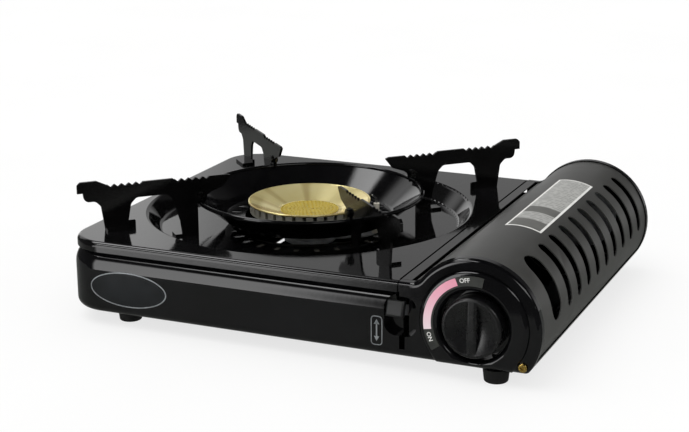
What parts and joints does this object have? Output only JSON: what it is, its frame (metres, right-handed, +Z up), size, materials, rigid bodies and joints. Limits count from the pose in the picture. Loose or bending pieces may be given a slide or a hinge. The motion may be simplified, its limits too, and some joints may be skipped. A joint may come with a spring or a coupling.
{
  "type": "butane cassette stove",
  "caption": "Low tabletop gas stove: enamelled case and plate, round burner in a dished guard, pan supports, hinged lid over a cartridge bay, knob and lock lever.",
  "frame": {"origin": "on the table under the middle of the whole stove", "axes": "+Z up, +X towards the cartridge side, -Y towards the knob and the user"},
  "size_m": [0.35, 0.2794, 0.0972],
  "materials": {
    "case_enamel": "gloss",
    "plate_enamel": "gloss",
    "bowl_enamel": "gloss",
    "arm_enamel": "satin",
    "lid_paint": "satin",
    "burner_brass": "satin",
    "mesh_brass": "satin",
    "burner_alloy": "matte",
    "zinc_alloy": "matte",
    "tube_steel": "satin",
    "bracket_steel": "satin",
    "screw_steel": "satin",
    "rivet_steel": "satin",
    "screw_brass": "polished",
    "igniter_plastic": "matte",
    "cam_plastic": "matte",
    "lead_sleeve": "matte",
    "electrode_ceramic": "matte",
    "knob_plastic": "satin",
    "dial_film": "satin",
    "tab_plastic": "satin",
    "foot_rubber": "matte"
  },
  "bodies": {
    "stove": {"lower_case": "case_enamel", "top_plate": "plate_enamel", "heat_partition": "bracket_steel", "burner_head": "burner_alloy", "burner_cap": "burner_brass", "burner_mesh": "mesh_brass", "mixing_tube": "tube_steel", "jet_nozzle": "burner_brass", "burner_bracket": "bracket_steel", "burner_screws": "screw_steel", "regulator_body": "zinc_alloy", "regulator_cover": "zinc_alloy", "cartridge_socket": "zinc_alloy", "regulator_bracket": "bracket_steel", "regulator_screws": "screw_steel", "cartridge_cradle": "bracket_steel", "piezo_igniter": "igniter_plastic", "igniter_lead": "lead_sleeve", "electrode_wire": "screw_steel", "electrode_insulator": "electrode_ceramic", "electrode_bracket": "bracket_steel", "lid_hinge_pins": "screw_steel", "dial_ring": "dial_film", "lever_pivot_pin": "screw_steel", "rail_guides": "bracket_steel", "panel_screws": "screw_brass", "foot_front_right": "foot_rubber", "foot_front_left": "foot_rubber", "foot_back_right": "foot_rubber", "foot_back_left": "foot_rubber"},
    "lid": {"cartridge_lid": "lid_paint"},
    "knob": {"control_knob": "knob_plastic", "valve_spindle": "screw_steel", "igniter_cam": "cam_plastic"},
    "plunger": {"igniter_plunger": "screw_steel"},
    "lever": {"lock_lever": "bracket_steel", "lever_tab": "tab_plastic"},
    "pusher": {"pusher_rail": "bracket_steel"},
    "pan_support": {"drip_bowl": "bowl_enamel", "support_rivets": "rivet_steel", "support_arm_back_right": "arm_enamel", "support_arm_back_left": "arm_enamel", "support_arm_front_left": "arm_enamel", "support_arm_front_right": "arm_enamel"}
  },
  "joints": [
    {"name": "lid_hinge", "type": "hinge", "parent": "stove", "child": "lid", "pos_m": [0.0899, 0.00185, 0.05825], "axis": [0, -1, 0], "range_deg": [0, 73]},
    {"name": "knob_turn", "type": "hinge", "parent": "stove", "child": "knob", "pos_m": [0.1303, -0.13965, 0.0376], "axis": [0, -1, 0], "range_deg": [0, 97]},
    {"name": "igniter_plunge", "type": "slide", "parent": "stove", "child": "plunger", "axis": [-1, 0, 0], "range_m": [0, 0.0041]},
    {"name": "lever_turn", "type": "hinge", "parent": "stove", "child": "lever", "pos_m": [0.0819, -0.09965, 0.03], "axis": [1, 0, 0], "range_deg": [0, 32]},
    {"name": "pusher_slide", "type": "slide", "parent": "stove", "child": "pusher", "axis": [0, -1, 0], "range_m": [0, 0.00654]},
    {"name": "support_lift", "type": "slide", "parent": "stove", "child": "pan_support", "axis": [0, 0, 1], "range_m": [0, 0.08]}
  ],
  "couplings": [
    {"joint": "igniter_plunge", "follows": "knob_turn", "m_per_rad": 0.002363},
    {"joint": "pusher_slide", "follows": "lever_turn", "m_per_rad": 0.011351}
  ]
}
